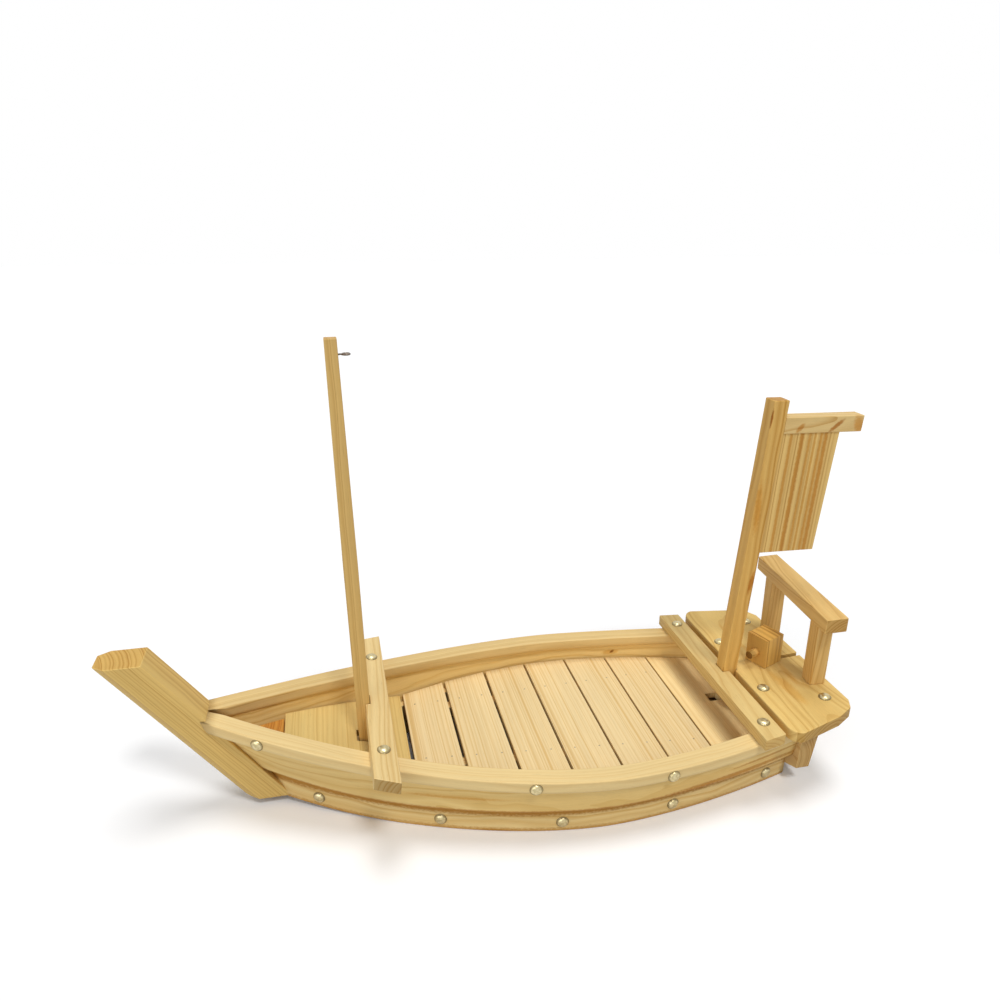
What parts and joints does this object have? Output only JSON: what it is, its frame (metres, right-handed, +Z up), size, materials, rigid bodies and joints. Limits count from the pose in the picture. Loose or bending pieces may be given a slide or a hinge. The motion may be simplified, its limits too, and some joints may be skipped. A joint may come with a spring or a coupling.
{
  "type": "sushi boat",
  "caption": "Wooden serving boat with lapped planks, a slatted deck tray, raked stem, lift-out mast and flag, stern rail and a turning rudder head, for serving sushi.",
  "frame": {"origin": "middle of the overall box at the floor that the boat stands on", "axes": "+X towards the stern, along the boat; +Y towards starboard; +Z up"},
  "size_m": [0.5062, 0.1848, 0.313],
  "materials": {
    "pine": "satin",
    "pine_dark": "satin",
    "pine_end": "satin",
    "nail_brass": "polished",
    "eye_steel": "satin"
  },
  "bodies": {
    "hull": {"stem_post": "pine_dark", "bow_block": "pine_end", "transom": "pine", "stern_beam": "pine", "lower_strake_port": "pine", "lower_strake_starboard": "pine", "upper_strake_port": "pine_dark", "upper_strake_starboard": "pine_dark", "gunwale_port": "pine", "gunwale_starboard": "pine", "floor_frame_1": "pine_dark", "floor_frame_2": "pine_dark", "floor_frame_3": "pine_dark", "floor_frame_4": "pine_dark", "floor_frame_5": "pine_dark", "bearer_port": "pine", "bearer_starboard": "pine", "mast_step": "pine_end", "flag_step": "pine_end", "foredeck_panel": "pine", "deck_slat_1": "pine", "deck_slat_2": "pine", "deck_slat_3": "pine", "deck_slat_4": "pine", "deck_slat_5": "pine", "deck_slat_6": "pine", "aft_deck_board": "pine", "fore_thwart": "pine", "aft_thwart": "pine", "stern_deck": "pine", "rail_post_port": "pine_dark", "rail_post_starboard": "pine_dark", "rail_bar": "pine", "gunwale_nails": "nail_brass", "strake_nails": "nail_brass", "thwart_nails": "nail_brass", "stern_deck_nails": "nail_brass", "deck_brads": "eye_steel"},
    "mast": {"mast": "pine_dark", "mast_screw_eye": "eye_steel"},
    "flag": {"flag_post": "pine_dark", "flag_yard": "pine", "flag_panel": "pine"},
    "rudder": {"rudder_head": "pine_dark", "tiller_peg": "pine", "rudder_pin": "pine_end"}
  },
  "joints": [
    {"name": "mast_lift", "type": "slide", "parent": "hull", "child": "mast", "axis": [0, 0, 1], "range_m": [0, 0.06]},
    {"name": "flag_lift", "type": "slide", "parent": "hull", "child": "flag", "axis": [0.0237, 0, 0.9997], "range_m": [0, 0.06]},
    {"name": "rudder_turn", "type": "hinge", "parent": "hull", "child": "rudder", "pos_m": [0.21595, 0, 0.05337], "axis": [-0.0635, 0, 0.998], "range_deg": [-60, 20]}
  ]
}
